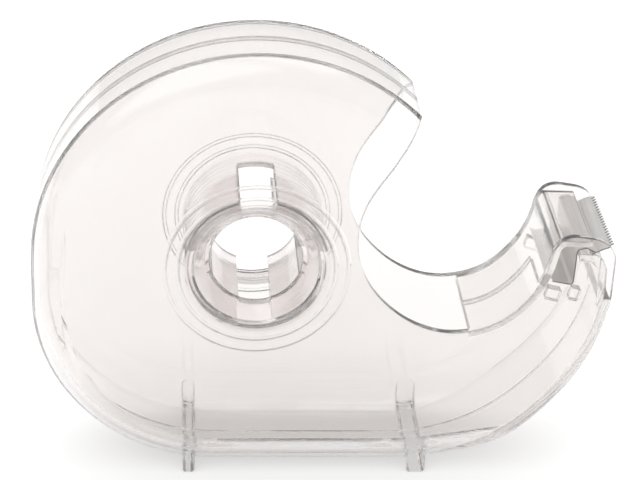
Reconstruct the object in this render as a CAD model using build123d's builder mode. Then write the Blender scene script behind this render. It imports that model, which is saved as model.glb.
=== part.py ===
from build123d import *
import os
from math import atan2, cos, degrees, radians, sin

os.makedirs("parts", exist_ok=True)

# ---------------------------------------------------------------------------
# Hand-held tape dispenser for 19 mm tape on a 25.4 mm (1 inch) core.
# Two clear moulded half-shells meet on the mid-plane y = 0 and snap together
# at the hub; a bent serrated steel strip is clipped into the nose.
# Origin: centre of the footprint, on the surface the feet stand on.
# All profile coordinates below are (x, z) measured from the hub axis.
# ---------------------------------------------------------------------------

# where the hub axis sits in the part's own frame
HUB_X = -11.85
HUB_Z = 41.9

# overall widths (half values, from the mid-plane)
HALF_W = 11.0          # outer face of a side wall
HALF_IN = 9.7          # inner face of a side wall (19 mm tape + clearance)
SEAM = 0.03            # half of the hairline seam between the two halves

# body outline
BODY_R = 38.9          # round drum, concentric with the hub
DROP = 8.4             # straight flank under the hub line
HEEL_R = 32.5          # heel arc into the flat base
BASE_Z = -(DROP + HEEL_R)
RIM_T = 1.5            # rim wall
LAP = 0.8              # depth of the lap joint along the seam
LAP_CLEAR = 0.03
NOSE_X = 62.6
# section of the rounded shoulder: (distance outside the rim face, y)
SHOULDER_OUT = [(0.5, 6.3), (0.0, 7.4), (-0.6, 8.45), (-1.4, 9.4), (-2.45, 10.2),
                (-3.7, 10.72), (-5.0, 10.98), (-6.2, 11.1)]
SHOULDER_IN = [(-1.1, 5.6), (-1.5, 6.5), (-2.0, 7.4), (-2.7, 8.2), (-3.65, 8.9),
               (-4.8, 9.3), (-6.0, 9.7), (-7.4, 10.1)]

# hub
TUBE_R_OUT = 12.65     # carries the 25.4 mm core
TUBE_R_IN = 11.65
TUBE_TIP = -9.35
SLOT_W = 6.2
SLOT_ROOT = 6.5
INNER_R = 8.1          # inner slotted sleeve of the front half
INNER_R_OUT = 9.1
INNER_FRONT = -6.7
INNER_BACK = 8.4
INNER_SLOT_W = 5.7
FUNNEL_R = 12.2
GROOVE_OUT = 16.3
GROOVE_IN = 13.4
GROOVE_W = 0.72
GROOVE_D = 0.25

# feet
FOOT_Z = -41.9
FOOT1 = (-12.3, -10.1)
FOOT2 = (28.5, 31.9)

# blade strip
BLADE_T = 0.2
BLADE_HALF = 9.5
TEETH = 20
TOOTH_D = 1.05


def xz(y):
    """Plane at height y along the hub axis, local axes = (x, z) from the hub."""
    return Plane(origin=(HUB_X, y, HUB_Z), x_dir=(1, 0, 0), z_dir=(0, -1, 0))


YR = Plane(origin=(HUB_X, 0, HUB_Z), x_dir=(0, 1, 0), z_dir=(1, 0, 0))  # (y, r)
HUB_AXIS = Axis((HUB_X, 0, HUB_Z), (0, 1, 0))

# lower arm outline: point and inward normal
ARM = [
    ((26.0, BASE_Z), (0.0, 1.0)),
    ((36.0, -39.3), (-0.32, 0.947)),
    ((44.9, -34.9), (-0.56, 0.829)),
    ((51.6, -29.0), (-0.72, 0.694)),
    ((55.9, -23.6), (-0.82, 0.572)),
    ((59.1, -18.0), (-0.905, 0.426)),
    ((61.1, -12.6), (-0.963, 0.270)),
    ((62.15, -8.0), (-0.985, 0.174)),
]
ARM_END = (NOSE_X, -2.5)

# nose top and mouth, one flowing edge from the nose front to the mouth tip
MOUTH = [
    (62.6, 1.6), (62.15, 3.9), (61.0, 5.35), (59.4, 6.2), (57.2, 6.6),
    (55.0, 6.85), (53.35, 6.4), (52.05, 5.1), (51.3, 3.0), (50.75, 0.4),
    (49.4, -3.0), (47.4, -6.1), (44.9, -8.8), (41.8, -10.9), (38.1, -12.1),
    (34.4, -12.4), (30.4, -11.6), (26.3, -9.6), (22.75, -6.7), (20.1, -3.5),
    (18.1, 0.8), (17.3, 5.4), (17.55, 9.0), (18.35, 12.0), (19.6, 14.7),
    (21.4, 17.6), (23.75, 21.5),
]
TIP_DIR = (0.478, 0.878)


def tip_point(r):
    """Where the straight end of the mouth edge meets a circle round the hub."""
    (px, pz), (dx, dz) = MOUTH[-1], TIP_DIR
    b = px * dx + pz * dz
    c = px * px + pz * pz - r * r
    t = -b + (b * b - c) ** 0.5
    return (px + dx * t, pz + dz * t)


def arm_points(inset):
    pts = [(p[0] + n[0] * inset, p[1] + n[1] * inset) for p, n in ARM]
    return pts + [(ARM_END[0] - inset, ARM_END[1])]


HEEL_CX = -(BODY_R - HEEL_R)
D45 = radians(225)


def drum_lines(inset, start):
    """Rim from the mouth round the drum and the heel to the flat base."""
    r, hr, m = BODY_R - inset, HEEL_R - inset, radians(115)
    ThreePointArc(start, (r * cos(m), r * sin(m)), (-r, 0))
    Line((-r, 0), (-r, -DROP))
    ThreePointArc((-r, -DROP), (HEEL_CX + hr * cos(D45), -DROP + hr * sin(D45)), (HEEL_CX, BASE_Z + inset))
    Line((HEEL_CX, BASE_Z + inset), (26.0, BASE_Z + inset))


# path of the shoulder round the body; past the base it rises gently and
# runs off the arm, where the shoulder fades into a plain edge
A30, A9, TURN = radians(28), radians(9), 60.0
P_START = (BODY_R * cos(A30), BODY_R * sin(A30))
P_TURN = (24 + TURN * sin(A9), BASE_Z + TURN * (1 - cos(A9)))
P_END = (P_TURN[0] + 42 * cos(A9), P_TURN[1] + 42 * sin(A9))
PROFILE_PLANE = Plane(origin=(HUB_X + P_START[0], 0, HUB_Z + P_START[1]),
                      x_dir=(cos(A30), 0, sin(A30)), z_dir=(-sin(A30), 0, cos(A30)))


def shoulder_path():
    m = radians(115)
    ThreePointArc(P_START, (BODY_R * cos(m), BODY_R * sin(m)), (-BODY_R, 0))
    Line((-BODY_R, 0), (-BODY_R, -DROP))
    ThreePointArc((-BODY_R, -DROP), (HEEL_CX + HEEL_R * cos(D45), -DROP + HEEL_R * sin(D45)), (HEEL_CX, BASE_Z))
    Line((HEEL_CX, BASE_Z), (24, BASE_Z))
    ThreePointArc((24, BASE_Z), (24 + TURN * sin(A9 / 2), BASE_Z + TURN * (1 - cos(A9 / 2))), P_TURN)
    Line(P_TURN, P_END)


# ------------------------------------------------------ shoulder cutters
with BuildPart() as shoulder_out:
    with BuildLine(xz(0)) as path_out:
        shoulder_path()
    with BuildSketch(PROFILE_PLANE):
        with BuildLine():
            Spline(*SHOULDER_OUT)
            Polyline(SHOULDER_OUT[-1], (-6.2, 13), (4, 13), (4, 6.3), SHOULDER_OUT[0])
        make_face()
    sweep(path=path_out.wires()[0])

with BuildPart() as shoulder_in:
    with BuildLine(xz(0)) as path_in:
        shoulder_path()
    with BuildSketch(PROFILE_PLANE):
        with BuildLine():
            Spline(*SHOULDER_IN)
            Polyline(SHOULDER_IN[-1], (-7.4, 13), (4, 13), (4, 5.6), SHOULDER_IN[0])
        make_face()
    sweep(path=path_in.wires()[0])

# ---------------------------------------------------------------- outer half
def body_outline():
    start = tip_point(BODY_R)
    drum_lines(0, start)
    arm = arm_points(0)
    Spline(*arm, tangents=[(1, 0), (0, 1)])
    Line(arm[-1], MOUTH[0])
    Spline(*MOUTH)
    Line(MOUTH[-1], start)


with BuildPart() as outer_half:
    with BuildSketch(xz(0)):
        with BuildLine():
            body_outline()
        make_face()
    extrude(amount=-HALF_W)
    add(shoulder_out.part, mode=Mode.SUBTRACT)
    # feet: two cross ribs, flush with the side walls
    for x0, x1 in (FOOT1, FOOT2):
        with BuildSketch(xz(0)):
            with Locations(((x0 + x1) / 2, (FOOT_Z - 35.4) / 2)):
                RectangleRounded(x1 - x0, -35.4 - FOOT_Z, 0.75)
        extrude(amount=-HALF_W)


# ------------------------------------------------------------------- cavity
DECK_UNDER = [
    (52.75, 3.6), (52.55, 2.4), (52.05, 0.1), (50.65, -3.5), (48.5, -6.9),
    (45.8, -9.8), (42.4, -12.1), (38.1, -13.45),
]


def cavity_outline():
    r = BODY_R - RIM_T
    start = (r * cos(A30), r * sin(A30))
    drum_lines(RIM_T, start)
    arm = arm_points(RIM_T)[:-1]
    Spline(*arm, tangents=[(1, 0), (0.18, 1)])
    Polyline(arm[-1], (60.1, -6.4), (60.0, -1.6), (59.5, 0.6), (58.4, 1.8),
             (56.35, 1.9), (56.35, 4.7), (53.6, 4.7), (53.05, 4.3), DECK_UNDER[0])
    Spline(*DECK_UNDER)
    Polyline(DECK_UNDER[-1], (38.1, -11.6), (38.6, 0.0), start)


def nose_opening():
    """Open top of the nose: above the tape rest, whose end bar holds the blade
    down, and over the blade seat in front of it."""
    Polyline((49.5, 5.75), (58.3, 5.55), (58.3, 4.7), (56.2, 4.7), (56.2, 3.1),
             (59.3, 2.95), (60.5, 1.9), (61.2, 0.2), (61.3, -5.8), (66, -5.8),
             (66, 9), (49.5, 9), close=True)


with BuildPart() as cavity:
    with BuildSketch(xz(0)):
        with BuildLine():
            cavity_outline()
        make_face()
    extrude(amount=-HALF_IN)
    add(shoulder_in.part, mode=Mode.SUBTRACT)
    with BuildSketch(xz(0)):
        with BuildLine():
            nose_opening()
        make_face()
    extrude(amount=-HALF_IN)

with BuildPart() as lap_core:
    with BuildSketch(xz(0.5)):
        with BuildLine():
            cavity_outline()
        make_face()
    extrude(amount=12)
    with BuildSketch(xz(0.5)):
        with BuildLine():
            nose_opening()
        make_face()
    extrude(amount=12)

# ------------------------------------------------------------ seam lap joint
# the inner half of the rear rim reaches past the mid-plane under the front rim
DECK_MID = [
    (52.7, 5.0), (51.95, 2.7), (51.4, 0.25), (50.0, -3.25), (47.95, -6.5),
    (45.35, -9.3), (42.1, -11.5), (38.1, -12.77),
]
TIP_ANGLE = degrees(atan2(tip_point(BODY_R)[1], tip_point(BODY_R)[0]))


def lap_outline(inset, tip_angle):
    r, a = BODY_R - inset, radians(tip_angle)
    start = (r * cos(a), r * sin(a))
    drum_lines(inset, start)
    arm = arm_points(inset)
    Spline(*arm[:-1], tangents=[(1, 0), (0.18, 1)])
    Polyline(arm[-2], (arm[-1][0], 9), (52.9, 9), DECK_MID[0])
    Spline(*DECK_MID)
    Polyline(DECK_MID[-1], (30, -9), (17, 0), (22, 18), start)


with BuildPart() as lap_tongue:
    with BuildSketch(xz(SEAM)):
        with BuildLine():
            lap_outline(RIM_T / 2 + LAP_CLEAR, TIP_ANGLE + 0.5)
        make_face()
    extrude(amount=LAP + SEAM)
    add(lap_core.part, mode=Mode.SUBTRACT)

with BuildPart() as lap_recess:
    with BuildSketch(xz(0.5)):
        with BuildLine():
            lap_outline(RIM_T / 2, TIP_ANGLE - 2.5)
        make_face()
    extrude(amount=LAP + LAP_CLEAR + 0.5)

# ----------------------------------------------------------------- tape rest
# the rounded rest under the free end of the tape is one piece with the rear
# half and spans the full width; the front half is open around it
REST_ZONE = [(48.0, -2.2), (50.9, -3.3), (53.0, -3.3), (53.0, 4.2), (55.9, 4.5),
             (58.5, 4.5), (58.5, 7.5), (48.0, 7.5)]
REST_END = -9.65

with BuildPart() as tape_rest:
    with BuildSketch(xz(SEAM)):
        with BuildLine():
            body_outline()
        make_face()
        with BuildLine():
            Polyline(*REST_ZONE, close=True)
        make_face(mode=Mode.INTERSECT)
    extrude(amount=SEAM - REST_END)
    add(lap_core.part, mode=Mode.SUBTRACT)

with BuildPart() as rest_recess:
    with BuildSketch(xz(0.5)):
        with BuildLine():
            Polyline(*REST_ZONE, close=True)
        make_face()
    extrude(amount=0.5 + HALF_IN)

# ---------------------------------------------------- shared half-shell blank
with BuildPart() as shell_blank:
    add(outer_half.part)
    add(cavity.part, mode=Mode.SUBTRACT)
    # two fine rings turned into the outer face of the wall, round the hub
    for r_out in (GROOVE_OUT, GROOVE_IN + GROOVE_W):
        with BuildSketch(YR):
            with BuildLine():
                Polyline((HALF_W + 1, r_out), (HALF_W - GROOVE_D, r_out - 0.06),
                         (HALF_W - GROOVE_D, r_out - GROOVE_W + 0.06), (HALF_W + 1, r_out - GROOVE_W), close=True)
            make_face()
        revolve(axis=HUB_AXIS, revolution_arc=360, mode=Mode.SUBTRACT)
    # small blocks that trap the lower flange of the blade
    with BuildSketch(xz(HALF_IN + 0.2)):
        with Locations(Location((52.3, -5.0), -14)):
            Rectangle(2.4, 2.2)
        with Locations(Location((56.1, -4.9), -14)):
            Rectangle(1.6, 2.3)
    extrude(amount=2.0)
    # hairline seam
    with BuildSketch(xz(0)):
        with Locations((10, 0)):
            Rectangle(140, 110)
    extrude(amount=-SEAM, mode=Mode.SUBTRACT)


# ------------------------------------------------------------- rear hub tube
with BuildPart() as rear_tube:
    with BuildSketch(YR):
        with BuildLine():
            Polyline((TUBE_TIP, TUBE_R_IN), (TUBE_TIP, TUBE_R_OUT - 0.25), (TUBE_TIP + 0.5, TUBE_R_OUT),
                     (HALF_W - 0.4, TUBE_R_OUT), (HALF_W - 0.4, TUBE_R_IN), close=True)
        make_face()
    revolve(axis=HUB_AXIS, revolution_arc=360)
    # four slots make spring fingers of the tube
    with BuildSketch(xz(SLOT_ROOT)):
        Rectangle(SLOT_W, 40)
        Rectangle(40, SLOT_W)
    extrude(amount=20, mode=Mode.SUBTRACT)

# --------------------------------------------------------------- rear half
with BuildPart() as rear_half_shell:
    add(shell_blank.part)
    with BuildSketch(xz(HALF_W + 1)):
        Circle(TUBE_R_IN)
    extrude(amount=3, mode=Mode.SUBTRACT)
    add(rear_tube.part)
    add(lap_tongue.part)
    add(tape_rest.part)
    # rounded lead-in at the open end
    with BuildSketch(YR):
        with BuildLine():
            Polyline((HALF_W - 0.7, TUBE_R_IN - 0.1), (HALF_W + 0.01, TUBE_R_IN + 0.75),
                     (HALF_W + 0.01, TUBE_R_IN - 0.1), close=True)
        make_face()
    revolve(axis=HUB_AXIS, revolution_arc=360, mode=Mode.SUBTRACT)


# --------------------------------------------------------------- front half
front_blank = mirror(shell_blank.part, about=Plane.XZ)

with BuildPart() as front_sleeve:
    with BuildSketch(YR):
        with BuildLine():
            Polyline((-HALF_W, FUNNEL_R), (-HALF_W + 0.35, FUNNEL_R - 0.55), (-9.5, 10.85),
                     (-8.2, 9.3), (INNER_FRONT, INNER_R), (INNER_BACK, INNER_R),
                     (INNER_BACK, INNER_R_OUT), (-6.3, INNER_R_OUT), (-7.4, 10.1), (-8.9, 11.35),
                     (-HALF_IN - 0.2, 11.35), (-HALF_IN - 0.2, FUNNEL_R + 0.5), (-HALF_W, FUNNEL_R + 0.5), close=True)
        make_face()
    revolve(axis=HUB_AXIS, revolution_arc=360)
    with BuildSketch(xz(INNER_BACK + 1)):
        Rectangle(INNER_SLOT_W, 30)
        Rectangle(30, INNER_SLOT_W)
    extrude(amount=INNER_BACK + 1 - INNER_FRONT, mode=Mode.SUBTRACT)

with BuildPart() as front_half_shell:
    add(front_blank)
    add(lap_recess.part, mode=Mode.SUBTRACT)
    add(rest_recess.part, mode=Mode.SUBTRACT)
    with BuildSketch(xz(-HALF_IN + 1)):
        Circle(FUNNEL_R)
    extrude(amount=4, mode=Mode.SUBTRACT)
    add(front_sleeve.part)


# -------------------------------------------------------------------- blade
with BuildPart() as cutter_blade:
    with BuildSketch(xz(0)):
        with BuildLine() as bl:
            FilletPolyline((62.25, 4.75), (60.4, 4.15), (59.1, 3.45), (57.3, 4.35), (55.75, 3.9),
                           (55.65, -3.0), (51.95, -2.3), radius=[0.8, 0.6, 0.6, 0.6, 0.7])
        trace(line_width=BLADE_T)
    extrude(amount=BLADE_HALF, both=True)
    # serrated edge
    pitch = 2 * BLADE_HALF / TEETH
    saw = [(62.45, -BLADE_HALF - pitch / 2)]
    for i in range(TEETH + 1):
        saw += [(62.45 - TOOTH_D, -BLADE_HALF + pitch * i), (62.45, -BLADE_HALF + pitch * (i + 0.5))]
    with BuildSketch(Plane(origin=(HUB_X, 0, HUB_Z + 3.0))):
        with BuildLine():
            Polyline(*saw, (64, BLADE_HALF + 2), (64, -BLADE_HALF - 2), close=True)
        make_face()
    extrude(amount=4, mode=Mode.SUBTRACT)

for name, bp in (("rear_half_shell", rear_half_shell), ("front_half_shell", front_half_shell),
                 ("cutter_blade", cutter_blade)):
    bp.part.label = name
    export_step(bp.part, f"parts/{name}.step")
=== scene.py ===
import bpy
import math
from mathutils import Vector, Matrix

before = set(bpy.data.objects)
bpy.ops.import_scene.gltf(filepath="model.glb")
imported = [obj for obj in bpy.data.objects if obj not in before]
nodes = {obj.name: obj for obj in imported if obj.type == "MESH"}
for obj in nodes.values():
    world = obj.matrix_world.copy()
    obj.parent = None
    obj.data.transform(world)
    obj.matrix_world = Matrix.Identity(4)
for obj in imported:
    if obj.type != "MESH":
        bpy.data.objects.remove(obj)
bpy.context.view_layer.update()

scene = bpy.context.scene
scene.view_settings.view_transform = "Standard"
scene.view_settings.look = "None"
scene.cycles.max_bounces = 40
scene.cycles.transmission_bounces = 36
scene.cycles.glossy_bounces = 12
scene.cycles.transparent_max_bounces = 24
scene.cycles.diffuse_bounces = 4
scene.cycles.caustics_refractive = False
scene.cycles.caustics_reflective = False
scene.cycles.blur_glossy = 0.3

# hub axis in the row frame (metres): the hub sleeve is the reference for the camera
HUB = Vector((-0.01185, 0.0, 0.0419))


# ------------------------------------------------------------------ materials
def new_mat(name):
    m = bpy.data.materials.new(name)
    m.use_nodes = True
    nt = m.node_tree
    for n in list(nt.nodes):
        nt.nodes.remove(n)
    return m, nt


def clear_plastic(name="clear_polystyrene"):
    """Moulded clear polystyrene: polished walls with a slight haze, a warm grey
    cast, slow moulding ripples and fine handling scratches; the hub, seen along
    its length, is denser and carries faint turned rings from the mould."""
    m, nt = new_mat(name)
    link = nt.links.new
    out = nt.nodes.new("ShaderNodeOutputMaterial")
    p = nt.nodes.new("ShaderNodeBsdfPrincipled")
    p.inputs["IOR"].default_value = 1.58
    p.inputs["Transmission Weight"].default_value = 0.97
    tc = nt.nodes.new("ShaderNodeTexCoord")

    # distance from the hub axis -> mask of the hub sleeves
    off = nt.nodes.new("ShaderNodeVectorMath")
    off.operation = "SUBTRACT"
    off.inputs[1].default_value = HUB
    link(tc.outputs["Object"], off.inputs[0])
    flat = nt.nodes.new("ShaderNodeVectorMath")
    flat.operation = "MULTIPLY"
    flat.inputs[1].default_value = (1.0, 0.0, 1.0)
    link(off.outputs["Vector"], flat.inputs[0])
    rad = nt.nodes.new("ShaderNodeVectorMath")
    rad.operation = "LENGTH"
    link(flat.outputs["Vector"], rad.inputs[0])
    hub = nt.nodes.new("ShaderNodeMapRange")
    hub.inputs["From Min"].default_value = 0.0130
    hub.inputs["From Max"].default_value = 0.0127
    link(rad.outputs["Value"], hub.inputs["Value"])

    # slow variation of the tint, as thick and thin flow fronts show
    n1 = nt.nodes.new("ShaderNodeTexNoise")
    n1.inputs["Scale"].default_value = 38.0
    n1.inputs["Detail"].default_value = 3.0
    link(tc.outputs["Object"], n1.inputs["Vector"])
    cr = nt.nodes.new("ShaderNodeValToRGB")
    cr.color_ramp.elements[0].position = 0.3
    cr.color_ramp.elements[0].color = (0.937, 0.917, 0.905, 1)
    cr.color_ramp.elements[1].position = 0.75
    cr.color_ramp.elements[1].color = (0.965, 0.949, 0.939, 1)
    link(n1.outputs["Fac"], cr.inputs["Fac"])
    mixc = nt.nodes.new("ShaderNodeMix")
    mixc.data_type = "RGBA"
    mixc.inputs["B"].default_value = (0.915, 0.880, 0.870, 1)
    link(hub.outputs["Result"], mixc.inputs["Factor"])
    link(cr.outputs["Color"], mixc.inputs["A"])
    link(mixc.outputs["Result"], p.inputs["Base Color"])

    # roughness: polished, with fine scratches
    mp = nt.nodes.new("ShaderNodeMapping")
    mp.inputs["Rotation"].default_value = (0.3, 0.5, 0.9)
    mp.inputs["Scale"].default_value = (300, 2600, 1400)
    link(tc.outputs["Object"], mp.inputs["Vector"])
    n2 = nt.nodes.new("ShaderNodeTexNoise")
    n2.inputs["Scale"].default_value = 1.0
    n2.inputs["Detail"].default_value = 4.0
    link(mp.outputs["Vector"], n2.inputs["Vector"])
    mr = nt.nodes.new("ShaderNodeMapRange")
    mr.inputs["From Min"].default_value = 0.62
    mr.inputs["From Max"].default_value = 0.80
    mr.inputs["To Min"].default_value = 0.015
    mr.inputs["To Max"].default_value = 0.11
    link(n2.outputs["Fac"], mr.inputs["Value"])
    hr = nt.nodes.new("ShaderNodeMath")
    hr.operation = "MULTIPLY_ADD"
    hr.inputs[1].default_value = 0.09
    link(hub.outputs["Result"], hr.inputs[0])
    link(mr.outputs["Result"], hr.inputs[2])
    link(hr.outputs["Value"], p.inputs["Roughness"])

    # moulded edges are rounded; a slow ripple and the scratches lie on top
    bv = nt.nodes.new("ShaderNodeBevel")
    bv.samples = 6
    bv.inputs["Radius"].default_value = 0.00045
    n3 = nt.nodes.new("ShaderNodeTexNoise")
    n3.inputs["Scale"].default_value = 70.0
    n3.inputs["Detail"].default_value = 2.0
    link(tc.outputs["Object"], n3.inputs["Vector"])
    b1 = nt.nodes.new("ShaderNodeBump")
    b1.inputs["Strength"].default_value = 0.025
    b1.inputs["Distance"].default_value = 0.0008
    link(n3.outputs["Fac"], b1.inputs["Height"])
    link(bv.outputs["Normal"], b1.inputs["Normal"])
    b2 = nt.nodes.new("ShaderNodeBump")
    b2.inputs["Strength"].default_value = 0.03
    b2.inputs["Distance"].default_value = 0.00005
    link(mr.outputs["Result"], b2.inputs["Height"])
    link(b1.outputs["Normal"], b2.inputs["Normal"])
    # turned rings of the hub
    wv = nt.nodes.new("ShaderNodeTexWave")
    wv.bands_direction = "Y"
    wv.inputs["Scale"].default_value = 190.0
    wv.inputs["Distortion"].default_value = 1.2
    wv.inputs["Detail"].default_value = 1.0
    link(tc.outputs["Object"], wv.inputs["Vector"])
    hw = nt.nodes.new("ShaderNodeMath")
    hw.operation = "MULTIPLY"
    link(wv.outputs["Fac"], hw.inputs[0])
    link(hub.outputs["Result"], hw.inputs[1])
    b3 = nt.nodes.new("ShaderNodeBump")
    b3.inputs["Strength"].default_value = 0.02
    b3.inputs["Distance"].default_value = 0.0002
    link(hw.outputs["Value"], b3.inputs["Height"])
    link(b2.outputs["Normal"], b3.inputs["Normal"])
    link(b3.outputs["Normal"], p.inputs["Normal"])

    # light reaches the floor through the clear wall
    tr = nt.nodes.new("ShaderNodeBsdfTransparent")
    tr.inputs["Color"].default_value = (0.90, 0.885, 0.875, 1)
    lp = nt.nodes.new("ShaderNodeLightPath")
    mx = nt.nodes.new("ShaderNodeMixShader")
    link(lp.outputs["Is Shadow Ray"], mx.inputs["Fac"])
    link(p.outputs["BSDF"], mx.inputs[1])
    link(tr.outputs["BSDF"], mx.inputs[2])
    link(mx.outputs["Shader"], out.inputs["Surface"])
    return m


def steel(name="rolled_steel_strip"):
    """Bare rolled strip: fine lines along the roll direction; the broad faces turned along Y are
    painted nearly black, a painted reflection of dark surroundings.
    """
    m, nt = new_mat(name)
    out = nt.nodes.new("ShaderNodeOutputMaterial")
    p = nt.nodes.new("ShaderNodeBsdfPrincipled")
    nt.links.new(p.outputs["BSDF"], out.inputs["Surface"])
    p.inputs["Metallic"].default_value = 1.0
    tc = nt.nodes.new("ShaderNodeTexCoord")
    mp = nt.nodes.new("ShaderNodeMapping")
    mp.inputs["Scale"].default_value = (5200, 140, 5200)
    nt.links.new(tc.outputs["Object"], mp.inputs["Vector"])
    n = nt.nodes.new("ShaderNodeTexNoise")
    n.inputs["Scale"].default_value = 1.0
    n.inputs["Detail"].default_value = 5.0
    nt.links.new(mp.outputs["Vector"], n.inputs["Vector"])
    cr = nt.nodes.new("ShaderNodeValToRGB")
    cr.color_ramp.elements[0].position = 0.25
    cr.color_ramp.elements[0].color = (0.60, 0.585, 0.575, 1)
    cr.color_ramp.elements[1].position = 0.8
    cr.color_ramp.elements[1].color = (0.80, 0.785, 0.775, 1)
    nt.links.new(n.outputs["Fac"], cr.inputs["Fac"])
    # painted reflection: faces whose normal lies along Y, towards and away from the camera, get a
    # near-black colour standing in for the dark surroundings the steel would mirror
    geo = nt.nodes.new("ShaderNodeNewGeometry")
    gy = nt.nodes.new("ShaderNodeSeparateXYZ")
    nt.links.new(geo.outputs["True Normal"], gy.inputs["Vector"])
    ab = nt.nodes.new("ShaderNodeMath")
    ab.operation = "ABSOLUTE"
    nt.links.new(gy.outputs["Y"], ab.inputs[0])
    cut = nt.nodes.new("ShaderNodeMapRange")
    cut.inputs["From Min"].default_value = 0.25
    cut.inputs["From Max"].default_value = 0.45
    nt.links.new(ab.outputs["Value"], cut.inputs["Value"])
    mxc = nt.nodes.new("ShaderNodeMix")
    mxc.data_type = "RGBA"
    mxc.inputs["B"].default_value = (0.10, 0.088, 0.085, 1)
    nt.links.new(cut.outputs["Result"], mxc.inputs["Factor"])
    nt.links.new(cr.outputs["Color"], mxc.inputs["A"])
    nt.links.new(mxc.outputs["Result"], p.inputs["Base Color"])
    mr = nt.nodes.new("ShaderNodeMapRange")
    mr.inputs["To Min"].default_value = 0.24
    mr.inputs["To Max"].default_value = 0.42
    nt.links.new(n.outputs["Fac"], mr.inputs["Value"])
    nt.links.new(mr.outputs["Result"], p.inputs["Roughness"])
    b = nt.nodes.new("ShaderNodeBump")
    b.inputs["Strength"].default_value = 0.18
    b.inputs["Distance"].default_value = 0.00003
    nt.links.new(n.outputs["Fac"], b.inputs["Height"])
    nt.links.new(b.outputs["Normal"], p.inputs["Normal"])
    return m


CLEAR = clear_plastic()
STEEL = steel()


def assign(obj, mat):
    if not obj.data.materials:
        obj.data.materials.append(mat)
    for s in obj.material_slots:
        s.material = mat


for name, obj in nodes.items():
    assign(obj, STEEL if name == "cutter_blade" else CLEAR)

# ------------------------------------------------------------ floor and light
bpy.ops.mesh.primitive_plane_add(size=6.0, location=(0, 0, 0))
floor = bpy.context.object
floor.name = "floor"
fm, fnt = new_mat("white_sweep_painted_glow")
fo = fnt.nodes.new("ShaderNodeOutputMaterial")
fd = fnt.nodes.new("ShaderNodeBsdfDiffuse")
fd.inputs["Color"].default_value = (0.80, 0.80, 0.80, 1)
# painted light: the floor glows as well as scattering; the glow is painted full under and behind the
# object (y above -0.0135 m) and dimmed to a painted dark band in front of it (y -0.036 to -0.072 m,
# rising again farther out), which the clear plastic picks up as dark edges and shade
fe = fnt.nodes.new("ShaderNodeEmission")
fe.inputs["Color"].default_value = (1, 1, 1, 1)
ftc = fnt.nodes.new("ShaderNodeTexCoord")
fsx = fnt.nodes.new("ShaderNodeSeparateXYZ")
fnt.links.new(ftc.outputs["Object"], fsx.inputs["Vector"])
fmr = fnt.nodes.new("ShaderNodeMapRange")
fmr.inputs["From Min"].default_value = -0.30
fmr.inputs["From Max"].default_value = 0.0
fnt.links.new(fsx.outputs["Y"], fmr.inputs["Value"])
fcr = fnt.nodes.new("ShaderNodeValToRGB")
fcr.color_ramp.interpolation = "EASE"
for i, (pos, v) in enumerate([(0.30, 0.42), (0.58, 0.38), (0.76, 0.20), (0.88, 0.20), (0.955, 1.0)]):
    e = fcr.color_ramp.elements[i] if i < 2 else fcr.color_ramp.elements.new(pos)
    e.position, e.color = pos, (v, v, v, 1)
fnt.links.new(fmr.outputs["Result"], fcr.inputs["Fac"])
fml = fnt.nodes.new("ShaderNodeMath")
fml.operation = "MULTIPLY"
fml.inputs[1].default_value = 0.50
fnt.links.new(fcr.outputs["Color"], fml.inputs[0])
fnt.links.new(fml.outputs["Value"], fe.inputs["Strength"])
fa = fnt.nodes.new("ShaderNodeAddShader")
fnt.links.new(fd.outputs["BSDF"], fa.inputs[0])
fnt.links.new(fe.outputs["Emission"], fa.inputs[1])
fnt.links.new(fa.outputs["Shader"], fo.inputs["Surface"])
floor.data.materials.append(fm)

# soft surround: bright behind and above the object, dimmer on the camera's side
world = bpy.data.worlds.new("studio")
scene.world = world
world.use_nodes = True
wn = world.node_tree
wbg = wn.nodes["Background"]
wbg.inputs["Color"].default_value = (1, 0.99, 0.985, 1)
wtc = wn.nodes.new("ShaderNodeTexCoord")
wsx = wn.nodes.new("ShaderNodeSeparateXYZ")
wn.links.new(wtc.outputs["Generated"], wsx.inputs["Vector"])
wmr = wn.nodes.new("ShaderNodeMapRange")
wmr.interpolation_type = "SMOOTHSTEP"
wmr.inputs["From Min"].default_value = -0.5
wmr.inputs["From Max"].default_value = 0.8
wmr.inputs["To Min"].default_value = 0.50
wmr.inputs["To Max"].default_value = 0.80
wn.links.new(wsx.outputs["Y"], wmr.inputs["Value"])
wn.links.new(wmr.outputs["Result"], wbg.inputs["Strength"])


def area(name, loc, target, size, size_y, power, color=(1, 1, 1)):
    d = bpy.data.lights.new(name, "AREA")
    d.shape = "RECTANGLE"
    d.size, d.size_y = size, size_y
    d.energy = power
    d.color = color
    o = bpy.data.objects.new(name, d)
    scene.collection.objects.link(o)
    o.location = loc
    o.rotation_euler = (Vector(target) - Vector(loc)).to_track_quat("-Z", "Y").to_euler()
    return o


area("key", (-0.45, -0.55, 0.95), (0, 0, 0.04), 1.1, 1.1, 3.0)
area("top", (0.15, 0.30, 1.1), (0, 0, 0.03), 1.3, 0.9, 2.5)

# --------------------------------------------------------------------- camera
cam_d = bpy.data.cameras.new("camera")
cam = bpy.data.objects.new("camera", cam_d)
scene.collection.objects.link(cam)
cam_d.sensor_width = 36.0
cam_d.lens = 2041.2 / 640.0 * 36.0
cam_d.clip_start, cam_d.clip_end = 0.01, 20.0
yaw, pitch, roll = math.radians(5.124), math.radians(27.896), math.radians(2.856)
aim = HUB + Vector((0.011614, 0.0, 0.000184))
d = Vector((math.sin(yaw) * math.cos(pitch), math.cos(yaw) * math.cos(pitch), -math.sin(pitch)))
r = Vector((math.cos(yaw), -math.sin(yaw), 0.0))
u = r.cross(d)
right = r * math.cos(roll) + u * math.sin(roll)
up = -r * math.sin(roll) + u * math.cos(roll)
cam.location = aim - d * 0.36232
cam.rotation_mode = "QUATERNION"
cam.rotation_quaternion = Matrix((right, up, -d)).transposed().to_quaternion()
scene.camera = cam
